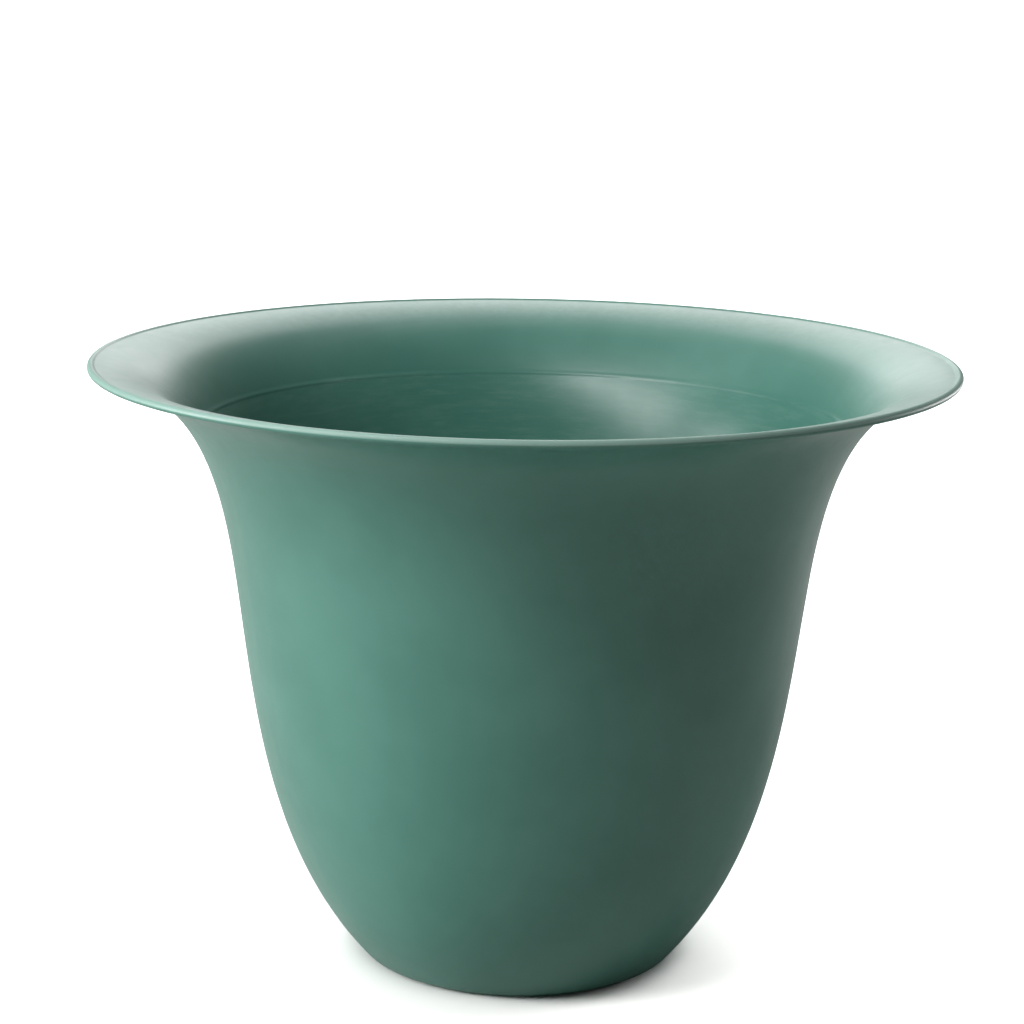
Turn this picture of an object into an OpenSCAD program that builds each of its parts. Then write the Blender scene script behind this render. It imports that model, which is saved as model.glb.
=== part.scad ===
// Florist bucket: one moulded plastic vessel with a bell-shaped wall and a trumpet-flared rim.
// Millimetres and degrees. The origin is on the floor at the middle of the base, +Z up.

/* [Overall] */
// Diameter over the lip
rim_d = 340; // [280:5:420]
// Height from the floor to the top of the lip
height = 241.5; // [205:0.5:300]

/* [Wall] */
// Thickness of the wall
wall_t = 2.6; // [1.8:0.1:3.6]
// How much thicker the rounded lip is than the wall
lip_extra = 0.5; // [0:0.1:1.5]

/* [Waist] */
// Diameter where the bulge of the belly turns into the hollow of the flare
waist_d = 228.6; // [180:0.2:250]
// Height of the waist above the floor
waist_z = 159.6; // [125:0.2:185]
// Lean of the wall at the waist, from upright
waist_lean = 8.4; // [4:0.1:12]

/* [Belly] */
// Lean of the belly where it leaves the foot corner, from upright
foot_lean = 41.5; // [30:0.5:55]
// Length of the belly's lower handle: how far it keeps the lean it has at the foot
belly_low = 59.8; // [30:0.2:75]
// Length of the belly's upper handle: how far it keeps the lean it has at the waist
belly_high = 48.6; // [25:0.2:65]

/* [Flare] */
// Lean of the flare at the lip, from upright
lip_lean = 84.7; // [75:0.1:88]
// Length of the flare's lower handle: how far it keeps the lean it has at the waist
flare_low = 39; // [20:0.2:50]
// Length of the flare's outer handle: how far it keeps the lean it has at the lip
flare_out = 37.8; // [20:0.2:50]

/* [Foot] */
// Diameter of the flat part of the base, inside the rounded corner
foot_d = 116.4; // [90:0.2:140]
// Radius of the rounded corner between the base and the belly
foot_r = 8.6; // [4.5:0.1:12]
// Thickness of the floor
floor_t = 3.2; // [2.2:0.1:4.5]
// Radius of the round between the floor and the inside of the wall
floor_round = 6; // [2:0.5:8]
// Width of the flat ring that the bucket stands on
ring_w = 5; // [3:0.5:9]
// Depth of the recess inside the standing ring
recess_h = 1.2; // [1:0.1:2]
// Width of the sloped edge of the recess
recess_slope = 3; // [1.5:0.5:6]
// Diameter of the moulding gate's mark in the middle of the recess
gate_d = 9; // [5:0.5:14]
// How far the gate's mark stands down into the recess
gate_h = 0.6; // [0.2:0.1:0.9]

/* [Inside] */
// Depth of the witness ring on the inside wall, below the top of the lip
witness_drop = 27; // [20:1:50]
// Height of the witness ring, from its lower to its upper edge
witness_w = 1.6; // [0.8:0.1:3]
// How far the witness ring stands proud of the wall
witness_h = 0.15; // [0.1:0.05:0.6]

/* [Hidden] */
BUCKET_GREEN = "#4f7d6d";
CORNER_STEPS = 10;
CURVE_STEPS = 28;
LIP_STEPS = 16;
ROUND_FN = 180;

foot_x = foot_d / 2;
floor_top = recess_h + floor_t;
lip_r = (wall_t + lip_extra) / 2;
lip_mid = [rim_d / 2 - lip_r, height - lip_r];
waist = [waist_d / 2, waist_z];
witness_mid = height - witness_drop;

// Unit direction that leans outwards from upright, and the unit normal on the inner side of it
function along(lean) = [sin(lean), cos(lean)];
function inward(lean) = [-cos(lean), sin(lean)];
function lean_of(d) = atan2(d[0], d[1]);

// Cubic curve from a to d with handle ends b and c: its point and its direction at t
function cubic(a, b, c, d, t) =
    pow(1 - t, 3) * a + 3 * pow(1 - t, 2) * t * b + 3 * (1 - t) * t * t * c + pow(t, 3) * d;
function cubic_dir(a, b, c, d, t) =
    pow(1 - t, 2) * (b - a) + 2 * (1 - t) * t * (c - b) + t * t * (d - c);

// A curved stretch of the wall from p to q, set inwards by inset; each end has a lean and a handle
function stretch(p, p_lean, p_handle, q, q_lean, q_handle, inset) =
    let (b = p + p_handle * along(p_lean), c = q - q_handle * along(q_lean))
    [for (i = [1 : CURVE_STEPS])
        let (t = i / CURVE_STEPS)
        cubic(p, b, c, q, t) + inset * inward(lean_of(cubic_dir(p, b, c, q, t)))];

// The rounded corner at the foot, from the flat base up to the belly, set inwards by inset
function foot_corner(inset) =
    [for (i = [0 : CORNER_STEPS])
        let (lean = 90 + (foot_lean - 90) * i / CORNER_STEPS)
        [foot_x, foot_r] - (foot_r - inset) * inward(lean)];

// A face of the wall from the base to the lip: inset 0 is the outer face, wall_t the inner one
belly_start = [foot_x, foot_r] - foot_r * inward(foot_lean);
flare_end = lip_mid - lip_r * inward(lip_lean);
function face(inset) = concat(
    foot_corner(inset),
    stretch(belly_start, foot_lean, belly_low, waist, waist_lean, belly_high, inset),
    stretch(waist, waist_lean, flare_low, flare_end, lip_lean, flare_out, inset)
);

// Where a climbing line passes height z: the point there, and the line's lean there
function crossing(line, z) =
    [for (i = [1 : len(line) - 1])
        let (a = line[i - 1], b = line[i])
        if (a[1] <= z && z < b[1]) [a + (b - a) * (z - a[1]) / (b[1] - a[1]), lean_of(b - a)]][0];
function point_at(line, z) = crossing(line, z)[0];
function between(line, low, high) = [for (p = line) if (p[1] > low && p[1] < high) p];

// The round between the floor and the inside of the wall, which touches both
function floor_corner() =
    let (mid = crossing(face(wall_t + floor_round), floor_top + floor_round))
    [for (i = [0 : CORNER_STEPS])
        let (lean = 90 + (mid[1] - 90) * i / CORNER_STEPS)
        mid[0] - floor_round * inward(lean)];

// The witness ring is a low ridge with a flat top and sloped edges
function ridge(line) =
    [for (side = [[-2, 0], [-1, witness_h], [1, witness_h], [2, 0]])
        point_at(line, witness_mid + side[0] * witness_w / 4) - [side[1], 0]];

// The inside from the middle of the floor up to the lip
function inside() =
    let (line = face(wall_t), corner = floor_corner())
    concat(
        [[0, floor_top]],
        corner,
        between(line, corner[CORNER_STEPS][1], witness_mid - witness_w / 2),
        ridge(line),
        [for (p = between(line, witness_mid + witness_w / 2, height)) if (norm(p - lip_mid) > lip_r) p]
    );

// The round of the lip, from the outer face over the edge to where it meets the inner face
lip_start = -90;
lip_stop = 180 - asin(wall_t / lip_r - 1);
function lip() =
    [for (i = [1 : LIP_STEPS])
        let (turn = lip_start + (lip_stop - lip_start) * i / LIP_STEPS)
        lip_mid + lip_r * (cos(turn) * along(lip_lean) + sin(turn) * inward(lip_lean))];

// The underside from the gate's mark out to the standing ring
ring_in = foot_x - ring_w;
function underside() = [
    [0, recess_h - gate_h],
    [gate_d / 2, recess_h - gate_h],
    [gate_d / 2, recess_h],
    [ring_in - recess_slope, recess_h],
    [ring_in, 0]
];

function reversed(line) = [for (i = [len(line) - 1 : -1 : 0]) line[i]];

// The whole vessel is one wall turned about its axis
module bucket() {
    color(BUCKET_GREEN)
        rotate_extrude($fn = ROUND_FN)
            polygon(concat(underside(), face(0), lip(), reversed(inside())));
}

bucket();
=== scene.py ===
from math import asin, atan2, cos, degrees, pi, radians, sin

import bpy
from mathutils import Matrix, Vector
from mathutils.geometry import interpolate_bezier


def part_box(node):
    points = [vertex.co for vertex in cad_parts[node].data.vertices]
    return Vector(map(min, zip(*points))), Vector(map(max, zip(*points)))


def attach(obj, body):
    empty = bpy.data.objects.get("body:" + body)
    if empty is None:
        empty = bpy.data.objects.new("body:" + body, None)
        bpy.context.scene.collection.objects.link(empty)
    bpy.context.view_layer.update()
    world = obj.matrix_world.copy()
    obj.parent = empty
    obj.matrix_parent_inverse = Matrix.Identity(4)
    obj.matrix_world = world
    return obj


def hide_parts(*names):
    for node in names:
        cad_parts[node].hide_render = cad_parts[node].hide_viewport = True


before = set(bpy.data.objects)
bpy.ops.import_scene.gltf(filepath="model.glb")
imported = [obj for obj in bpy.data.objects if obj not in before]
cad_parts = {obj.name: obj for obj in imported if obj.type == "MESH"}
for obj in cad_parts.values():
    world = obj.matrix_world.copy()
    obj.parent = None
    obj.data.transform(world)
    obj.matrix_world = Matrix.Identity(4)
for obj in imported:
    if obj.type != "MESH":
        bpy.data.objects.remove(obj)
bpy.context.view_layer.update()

# ---------------------------------------------------------------- camera
# A camera on a tripod about a metre off, a little above the rim: the mouth shows as a flat oval and
# the far inside wall shows through it. The long lens keeps foot and rim in proportion.
camera_place = (0, -1.071, 0.4158)
camera_pan = 0.233
camera_below_level = 12.43
camera_lean = 0.8
camera_data = bpy.data.cameras.new("camera")
camera_data.sensor_width = 36
camera_data.lens = 97.2
camera = bpy.data.objects.new("camera", camera_data)
bpy.context.scene.collection.objects.link(camera)
bpy.context.scene.camera = camera
pan = Matrix.Rotation(radians(camera_pan), 4, "Z")
tilt = Matrix.Rotation(radians(90 - camera_below_level), 4, "X")
lean = Matrix.Rotation(radians(camera_lean), 4, "Z")
camera.matrix_world = Matrix.Translation(camera_place) @ pan @ tilt @ lean

# ---------------------------------------------------------------- bucket
# One injection moulding in polypropylene, coloured right through. Its thin wall rises from a rounded
# foot, swells into a bell and rolls out into a wide, almost level flange with a rounded lip. Nothing
# is fixed to it. Its section is drawn once here, then spun about the axis as on a lathe.
MM = 0.001
rim_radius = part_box("bucket")[1].x
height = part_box("bucket")[1].z
wall = 2.6 * MM
lip_radius = 1.55 * MM
lip_lean = 84.7
waist = Vector((114.3, 159.6)) * MM
waist_lean = 8.4
foot_radius = 58.2 * MM
corner_radius = 8.6 * MM
foot_lean = 41.5
belly_handles = (59.8 * MM, 48.6 * MM)
flare_handles = (39 * MM, 37.8 * MM)
recess_height = 1.2 * MM
floor_thickness = 3.2 * MM
floor_top = recess_height + floor_thickness
floor_round = 6 * MM
ring_width = 5 * MM
recess_slope_width = 3 * MM
ring_inner_radius = foot_radius - ring_width
recess_radius = ring_inner_radius - recess_slope_width
gate_radius = 4.5 * MM
gate_bottom = 0.6 * MM
witness_height = height - 27 * MM
witness_width = 1.6 * MM
witness_rise = 0.15 * MM
# Extra points close to each edge of the recess keep its shading crisp.
edge_loop = 0.5 * MM
edge_share = 0.15
# How finely the section and its turning are cut up; edges sharper than the angle stay sharp.
corner_steps = 12
belly_steps = 52
flare_steps = 64
lip_steps = 20
floor_round_steps = 8
sides = 240
weld_distance = 0.01 * MM
smooth_below = 50


def along(lean):
    """Direction in the section, as radius and height, that leans outwards from upright."""
    return Vector((sin(radians(lean)), cos(radians(lean))))


def inward(lean):
    """The same direction's normal, on the inner side of the wall."""
    return Vector((-cos(radians(lean)), sin(radians(lean))))


def arc(middle, radius, start_lean, end_lean, steps):
    """Points on a round, each where the outer face would have that lean."""
    turn = (end_lean - start_lean) / steps
    return [middle - radius * inward(start_lean + turn * i) for i in range(steps + 1)]


def bend(start, start_lean, end, end_lean, handles, steps):
    """Points on a smooth stretch of wall between two places, leaning as asked at each."""
    low, high = start + handles[0] * along(start_lean), end - handles[1] * along(end_lean)
    points = interpolate_bezier(start.to_3d(), low.to_3d(), high.to_3d(), end.to_3d(), steps + 1)
    return [point.to_2d() for point in points]


def set_in(line, distance):
    """The line moved inwards by a distance, square to itself."""
    moved = []
    for i, point in enumerate(line):
        direction = line[min(i + 1, len(line) - 1)] - line[max(i - 1, 0)]
        normal = Vector((-direction.y, direction.x)).normalized()
        moved.append(point + distance * normal)
    return moved


def crossing(line, level):
    """Where a climbing line passes a height: the point, and the line's lean there."""
    for low, high in zip(line, line[1:]):
        if low.y <= level < high.y:
            step = high - low
            return low + step * (level - low.y) / step.y, degrees(atan2(step.x, step.y))


corner_middle = Vector((foot_radius, corner_radius))
lip_middle = Vector((rim_radius - lip_radius, height - lip_radius))
corner = arc(corner_middle, corner_radius, 90, foot_lean, corner_steps)
flare_end = lip_middle - lip_radius * inward(lip_lean)
belly = bend(corner[-1], foot_lean, waist, waist_lean, belly_handles, belly_steps)
flare = bend(waist, waist_lean, flare_end, lip_lean, flare_handles, flare_steps)
outside = corner + belly[1:] + flare[1:]

# The lip's round runs under, over the edge and back to where the inner face leaves it.
lip_stop = lip_lean - 270 + degrees(asin(wall / lip_radius - 1))
lip = arc(lip_middle, lip_radius, lip_lean, lip_stop, lip_steps)

inner_face = set_in(outside, wall)
witness_bottom = witness_height - witness_width / 2
witness_top = witness_height + witness_width / 2
witness_ring = [
    crossing(inner_face, witness_height + step * witness_width / 4)[0] - Vector((rise, 0))
    for step, rise in ((-2, 0), (-1, witness_rise), (1, witness_rise), (2, 0))
]
round_middle, round_lean = crossing(set_in(outside, wall + floor_round), floor_top + floor_round)
inside = arc(round_middle, floor_round, 90, round_lean, floor_round_steps)
inside += [point for point in inner_face if inside[-1].y < point.y < witness_bottom]
inside += witness_ring
inside += [
    point
    for point in inner_face
    if point.y > witness_top and (point - lip_middle).length > lip_radius
]
recess_edge = Vector((recess_radius, recess_height))
slope = Vector((ring_inner_radius, 0)) - recess_edge
underside = [
    Vector((0, gate_bottom)),
    Vector((gate_radius, gate_bottom)),
    Vector((gate_radius, recess_height)),
    Vector((recess_radius - edge_loop, recess_height)),
    recess_edge,
    recess_edge + edge_share * slope,
    recess_edge + (1 - edge_share) * slope,
    Vector((ring_inner_radius, 0)),
    Vector((ring_inner_radius + edge_loop, 0)),
]
section = underside + outside + lip[1:] + inside[::-1] + [Vector((0, floor_top))]

bpy.ops.object.select_all(action="DESELECT")
section_curve = bpy.data.curves.new("bucket", "CURVE")
section_curve.dimensions = "3D"
spline = section_curve.splines.new("POLY")
spline.points.add(len(section) - 1)
for spline_point, point in zip(spline.points, section):
    spline_point.co = (point.x, 0, point.y, 1)
bucket = bpy.data.objects.new("bucket_shell", section_curve)
bpy.context.scene.collection.objects.link(bucket)
bucket.select_set(True)
bpy.context.view_layer.objects.active = bucket
bpy.ops.object.convert(target="MESH")
bpy.ops.object.mode_set(mode="EDIT")
bpy.ops.mesh.select_all(action="SELECT")
bpy.ops.mesh.spin(steps=sides, angle=2 * pi, center=(0, 0, 0), axis=(0, 0, 1))
bpy.ops.mesh.select_all(action="SELECT")
bpy.ops.mesh.remove_doubles(threshold=weld_distance)
bpy.ops.mesh.normals_make_consistent(inside=False)
bpy.ops.object.mode_set(mode="OBJECT")
bpy.ops.object.shade_smooth_by_angle(angle=radians(smooth_below))


def linear(hex_colour):
    """An sRGB hex colour as linear red, green, blue and alpha."""
    parts = [int(hex_colour[i : i + 2], 16) / 255 for i in (1, 3, 5)]
    return [p / 12.92 if p < 0.04045 else ((p + 0.055) / 1.055) ** 2.4 for p in parts] + [1]


def add_node(material, kind, inputs=None, output=0, **settings):
    """Adds a shader node with its settings, and sets or links its sockets; gives one of its outputs."""
    node = material.node_tree.nodes.new("ShaderNode" + kind)
    for name, value in settings.items():
        setattr(node, name, value)
    for socket, value in (inputs or {}).items():
        if isinstance(value, bpy.types.NodeSocket):
            material.node_tree.links.new(value, node.inputs[socket])
        else:
            node.inputs[socket].default_value = value
    return node.outputs[output]


# Polypropylene moulded in a tool with a fine spark-eroded grain: an even satin green, never glassy.
# The core that formed the inside was turned, so faint rings run round below the witness ring and
# spread the highlight there; the wall has faint upright flow streaks. Handling and nesting have left
# the flange and stretches of the witness ring paler and duller. The upper half of the lip's round is
# paler too: partly a worn edge, partly a painted highlight where the light from above falls on it.
polypropylene = bpy.data.materials.new("moulded_green_polypropylene")
polypropylene.use_nodes = True
shader = polypropylene.node_tree.nodes["Principled BSDF"]
shader.inputs["IOR"].default_value = 1.49
light_green = linear("#4d8073")
deep_green = linear("#46796c")
scuffed_and_highlight_green = linear("#a9c3ba")
base_roughness = 0.32
# What each of these adds to the roughness where it is strongest.
scuffs_roughness = 0.1
streaks_roughness = 0.08
wear_roughness = 0.3
rings_roughness = 0.15
flare_roughness = 0.13
# The real grain is about 0.1 mm across, too fine to show, so it is drawn eight times as coarse.
grain_size = 0.8 * MM
grain_height = 0.012 * MM
turning_pitch = 1.3 * MM
turning_height = 0.02 * MM
turning_length = 60 * MM
streak_width = 7 * MM
streak_length = 400 * MM
mottle_size = 45 * MM
scuff_size = 6 * MM
patch_size = 90 * MM
scratch_width = 0.7 * MM
scratch_length = 12 * MM
rubbing_width = 2.2 * MM
rubbing_length = 16 * MM
# Where each kind of wear or finish starts and stops fading, off the lip or off the witness ring.
flange_reach = 30 * MM
flange_margin = 2 * MM
lip_reach = 2.2 * MM
line_reach = 1.6 * MM
line_core = 0.3 * MM
turned_fade = 1 * MM
flare_bottom_fade = 4 * MM
flare_top_drop = 6 * MM
flare_full_drop = 15 * MM

place = add_node(polypropylene, "TexCoord", output="Object")
normal = add_node(polypropylene, "NewGeometry", output="Normal")
level = add_node(polypropylene, "SeparateXYZ", {0: place}, "Z")
facing_up = add_node(polypropylene, "SeparateXYZ", {0: normal}, "Z")
across = add_node(polypropylene, "VectorMath", {0: place, 1: (1, 1, 0)}, operation="MULTIPLY")
radius = add_node(polypropylene, "VectorMath", {0: across}, "Value", operation="LENGTH")

# Each noise is stretched by a Mapping node, so that one grain has these sizes along x, y and z.
noises = {}
for name, sizes, detail, rough in (
    ("mottle", (mottle_size, mottle_size, mottle_size), 3, 0.55),
    ("streaks", (streak_width, streak_width, streak_length), 3, 0.6),
    ("scuffs", (scuff_size, scuff_size, scuff_size), 5, 0.7),
    ("patches", (patch_size, patch_size, patch_size), 1, 0.5),
    ("grain", (grain_size, grain_size, grain_size), 2, 0.6),
    ("turning", (turning_length, turning_length, turning_pitch), 4, 0.65),
    ("scratches", (scratch_length, scratch_length, scratch_width), 3, 0.7),
    ("rubbing", (rubbing_length, rubbing_length, rubbing_width), 4, 0.7),
):
    stretch = [1 / size for size in sizes]
    stretched = add_node(polypropylene, "Mapping", {"Vector": place, "Scale": stretch})
    noise_inputs = {"Vector": stretched, "Scale": 1.0, "Detail": detail, "Roughness": rough}
    noises[name] = add_node(polypropylene, "TexNoise", noise_inputs)

# Masks run smoothly from 0 to 1 between two values: the inside is all that faces up at all.
off_line = add_node(polypropylene, "Math", {0: level, 1: witness_height}, operation="SUBTRACT")
off_line = add_node(polypropylene, "Math", {0: off_line}, operation="ABSOLUTE")
masks = {}
for name, source, low, high in (
    ("inside", facing_up, -0.02, 0.08),
    ("flange", radius, rim_radius - flange_reach, rim_radius - flange_margin),
    ("lip", radius, rim_radius - lip_reach, rim_radius - lip_reach / 2),
    ("line", off_line, line_reach, line_core),
    ("turned", level, witness_height + turned_fade, witness_height - turned_fade),
    ("above_line", level, witness_height - turned_fade, witness_height + flare_bottom_fade),
    ("under_flange", level, height - flare_top_drop, height - flare_full_drop),
    # The lip's round where it faces up and the light from above falls: the mask of its painted
    # highlight.
    ("painted_highlight_bead_top", facing_up, -0.3, 0.1),
    ("scuffed", noises["scuffs"], 0.35, 0.7),
    ("scratched", noises["scratches"], 0.4, 0.6),
    ("rubbed", noises["rubbing"], 0.42, 0.68),
    ("worn_stretch", noises["patches"], 0.48, 0.6),
    ("mottled", noises["mottle"], 0.3, 0.7),
):
    limits = {0: source, 1: low, 2: high}
    masks[name] = add_node(polypropylene, "MapRange", limits, interpolation_type="SMOOTHSTEP")

# Each layer is some masks multiplied, times its strength: wear on the flange, a pale lip top that is
# partly a worn edge and partly a painted highlight, wear on the ring and the nesting band, two
# finishes.
layers = {}
for name, parts, strength in (
    ("flange", ("flange", "inside", "scuffed"), 0.18),
    # The lip's up-facing half goes pale: partly a worn edge, partly a painted highlight.
    ("lip", ("lip", "painted_highlight_bead_top"), 0.5),
    ("line", ("line", "inside", "scratched", "worn_stretch"), 0.3),
    ("nesting", ("turned", "inside", "rubbed"), 0.06),
    ("turned", ("turned", "inside"), 1.0),
    ("flare", ("above_line", "under_flange", "inside"), 1.0),
):
    layer = strength
    for part in parts:
        layer = add_node(polypropylene, "Math", {0: masks[part], 1: layer}, operation="MULTIPLY")
    layers[name] = layer
# Wear and the lip's painted highlight together set how far the colour goes pale and dull.
wear_and_highlight = add_node(polypropylene, "Math", {0: layers["flange"], 1: layers["lip"]}, operation="MAXIMUM")
wear_and_highlight = add_node(polypropylene, "Math", {0: wear_and_highlight, 1: layers["line"]}, operation="ADD")
wear_and_highlight = add_node(polypropylene, "Math", {0: wear_and_highlight, 1: layers["nesting"]}, operation="ADD")
rings = add_node(polypropylene, "Math", {0: noises["turning"], 1: -0.5}, operation="ADD")
rings = add_node(polypropylene, "Math", {0: rings, 1: layers["turned"]}, operation="MULTIPLY")

tone_inputs = {0: masks["mottled"], 6: deep_green, 7: light_green}
tone = add_node(polypropylene, "Mix", tone_inputs, 2, data_type="RGBA")
# The pale green is scuffing, and on the lip's upper half it is also a painted highlight.
worn_and_highlit_inputs = {0: wear_and_highlight, 6: tone, 7: scuffed_and_highlight_green}
worn_and_highlit = add_node(polypropylene, "Mix", worn_and_highlit_inputs, 2, data_type="RGBA")
polypropylene.node_tree.links.new(worn_and_highlit, shader.inputs["Base Color"])

# The two noises average a half, so half of what they add comes off the start.
satin = base_roughness - (scuffs_roughness + streaks_roughness) / 2
for source, share in (
    (noises["scuffs"], scuffs_roughness),
    (noises["streaks"], streaks_roughness),
    (wear_and_highlight, wear_roughness),
    (rings, rings_roughness),
    (layers["flare"], flare_roughness),
):
    satin_inputs = {0: source, 1: share, 2: satin}
    satin = add_node(polypropylene, "Math", satin_inputs, operation="MULTIPLY_ADD")
polypropylene.node_tree.links.new(satin, shader.inputs["Roughness"])

grain_inputs = {"Height": noises["grain"], "Distance": grain_height}
grain_bump = add_node(polypropylene, "Bump", grain_inputs)
ring_inputs = {"Height": rings, "Distance": turning_height, "Normal": grain_bump}
ring_bump = add_node(polypropylene, "Bump", ring_inputs)
polypropylene.node_tree.links.new(ring_bump, shader.inputs["Normal"])
bucket.data.materials.clear()
bucket.data.materials.append(polypropylene)

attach(bucket, "root")
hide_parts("bucket")

# ---------------------------------------------------------------- floor
# Matt white card, laid flat in a ring of card that curves up on every side, so that no edge or corner
# shows behind the bucket. It only shows and takes the shadows: the sheet below does the reflecting.
card_radius = 2.4
card_height = 3
card_bend_radius = 1.2
card_sides = 128
card_bend_segments = 24
bpy.ops.object.select_all(action="DESELECT")
bpy.ops.mesh.primitive_cylinder_add(
    vertices=card_sides, radius=card_radius, depth=card_height, location=(0, 0, card_height / 2)
)
floor = bpy.context.object
floor.name = "floor"
bpy.ops.object.transform_apply(location=True, rotation=True, scale=True)
# The drum's lid comes off, its faces are turned inwards and its bottom edge is rounded.
bpy.ops.object.mode_set(mode="EDIT")
bpy.ops.mesh.select_all(action="DESELECT")
bpy.ops.object.mode_set(mode="OBJECT")
for face in floor.data.polygons:
    face.select = face.center.z > card_height - MM
bpy.ops.object.mode_set(mode="EDIT")
bpy.ops.mesh.delete(type="FACE")
bpy.ops.mesh.select_all(action="SELECT")
bpy.ops.mesh.flip_normals()
bpy.ops.mesh.select_all(action="DESELECT")
bpy.ops.mesh.select_mode(type="EDGE")
bpy.ops.object.mode_set(mode="OBJECT")
for edge in floor.data.edges:
    edge.select = all(floor.data.vertices[v].co.z < MM for v in edge.vertices)
bpy.ops.object.mode_set(mode="EDIT")
bpy.ops.mesh.bevel(offset=card_bend_radius, segments=card_bend_segments, affect="EDGES")
bpy.ops.object.mode_set(mode="OBJECT")
bpy.ops.object.shade_smooth()
floor.visible_diffuse = False
floor.visible_glossy = False
floor.visible_shadow = False

# Uncoated card: chalky white with a faint paper tooth, so that shadows lie on it without a shine.
tooth_size = 1.5 * MM
tooth_height = 0.02 * MM
card = bpy.data.materials.new("matt_white_card")
card.use_nodes = True
card_shader = card.node_tree.nodes["Principled BSDF"]
card_shader.inputs["Base Color"].default_value = linear("#f2f2f0")
card_shader.inputs["Roughness"].default_value = 0.9
tooth = add_node(card, "TexNoise", {"Scale": 1 / tooth_size, "Detail": 3})
tooth_bump = add_node(card, "Bump", {"Height": tooth, "Distance": tooth_height})
card.node_tree.links.new(tooth_bump, card_shader.inputs["Normal"])
floor.data.materials.append(card)

# ---------------------------------------------------------------- table
# The grey table and backdrop whose soft reflection the bucket takes from below and behind. They lie
# just below and behind the card, out of the camera's sight, so the card can be lit white by itself.
table_width = 7
table_front = -1.6
table_back = card_radius + 0.2
table_below = 0.5 * MM
bpy.ops.object.select_all(action="DESELECT")
bpy.ops.mesh.primitive_plane_add(size=1, location=(0, (table_front + table_back) / 2, -table_below))
table = bpy.context.object
table.name = "floor_table"
bpy.ops.object.mode_set(mode="EDIT")
bpy.ops.transform.resize(
    value=(table_width, table_back - table_front, 1), center_override=table.location
)
# The back edge is drawn up into a backdrop, and the fold between the two is rounded.
bpy.ops.mesh.select_all(action="DESELECT")
bpy.ops.object.mode_set(mode="OBJECT")
for edge in table.data.edges:
    edge.select = all(table.data.vertices[v].co.y > 0 for v in edge.vertices)
bpy.ops.object.mode_set(mode="EDIT")
bpy.ops.mesh.select_mode(type="EDGE")
bpy.ops.mesh.extrude_region_move(TRANSFORM_OT_translate={"value": (0, 0, card_height)})
bpy.ops.mesh.select_all(action="DESELECT")
bpy.ops.object.mode_set(mode="OBJECT")
for edge in table.data.edges:
    ends = [table.data.vertices[v].co for v in edge.vertices]
    edge.select = all(end.y > 0 and end.z < MM for end in ends)
bpy.ops.object.mode_set(mode="EDIT")
bpy.ops.mesh.bevel(offset=card_bend_radius, segments=card_bend_segments, affect="EDGES")
bpy.ops.object.mode_set(mode="OBJECT")
bpy.ops.object.transform_apply(location=True, rotation=True, scale=True)
bpy.ops.object.shade_smooth()
table.visible_camera = False

# The card's matt surface in a mid grey, which sends less light back up than the white would.
table_grey = card.copy()
table_grey.name = "matt_grey_laminate"
grey_shader = table_grey.node_tree.nodes["Principled BSDF"]
grey_shader.inputs["Base Color"].default_value = linear("#c0c0be")
table.data.materials.append(table_grey)

# ---------------------------------------------------------------- light
# A studio table. Soft boxes at the left front make the key, one of them slanting up towards the
# camera for the streak inside the mouth; weaker ones behind and above pick out the rim. The last
# three reach only the card and turn it white, so the bucket keeps its dark side.
world_strength = 0.05
light_distance = 1.8
light_aim = Vector((0, 0, 0.15))
world = bpy.data.worlds.new("studio")
bpy.context.scene.world = world
world.use_nodes = True
world.node_tree.nodes["Background"].inputs["Color"].default_value = (1, 1, 1, 1)
world.node_tree.nodes["Background"].inputs["Strength"].default_value = world_strength
bpy.context.scene.view_settings.view_transform = "Standard"
card_only = bpy.data.collections.new("card_only")
card_only.objects.link(floor)


def around(azimuth, elevation):
    """A place at the lights' distance from the bucket. Azimuth 0 is the camera's side, 90 the right."""
    turn = radians(azimuth)
    rise = radians(elevation)
    away = Vector((cos(rise) * sin(turn), -cos(rise) * cos(turn), sin(rise)))
    return light_aim + light_distance * away


def soft_box(name, place, width, height, brightness, slant=0, aim=light_aim):
    """A rectangular light at a place, facing its aim and turned in its own plane by the slant."""
    lamp_data = bpy.data.lights.new(name, "AREA")
    lamp_data.shape = "RECTANGLE"
    lamp_data.size = width
    lamp_data.size_y = height
    lamp_data.energy = brightness * pi * width * height
    lamp = bpy.data.objects.new(name, lamp_data)
    bpy.context.scene.collection.objects.link(lamp)
    facing = (aim - place).to_track_quat("-Z", "Y").to_matrix().to_4x4()
    slanted = Matrix.Rotation(radians(slant), 4, "Z")
    lamp.matrix_world = Matrix.Translation(place) @ facing @ slanted
    lamp.visible_camera = False
    return lamp


soft_box("key_side_low", around(277, 10), 0.75, 0.45, 24.3)
soft_box("key_slanting", around(315, 40), 1.05, 0.42, 10.1, slant=52)
soft_box("key_upright", around(300, 32), 0.5, 0.85, 4.3)
soft_box("key_front_high", around(330, 55), 0.5, 0.5, 6.6)
soft_box("left_high", around(272, 55), 0.9, 0.9, 1.0)
soft_box("back_middle", around(182, 36), 0.9, 1.6, 2.6)
soft_box("edge_right_low", around(128, 0), 1.0, 0.2, 19.0)
soft_box("backdrop", Vector((0, 0.9, 2.6)), 4, 0.6, 2.9, aim=Vector((0, 2.6, 0.9)))
card_lamps = [
    soft_box("card_right", around(80, 58), 0.7, 0.7, 13.0),
    soft_box("card_rising", Vector((0, 0.2, 3)), 4, 1.5, 4, aim=Vector((0, 2.4, 1.4))),
    soft_box("card_over", Vector((0, 0, 4)), 6, 6, 2.6, aim=Vector((0, 0, 0))),
]
for lamp in card_lamps:
    lamp.light_linking.receiver_collection = card_only
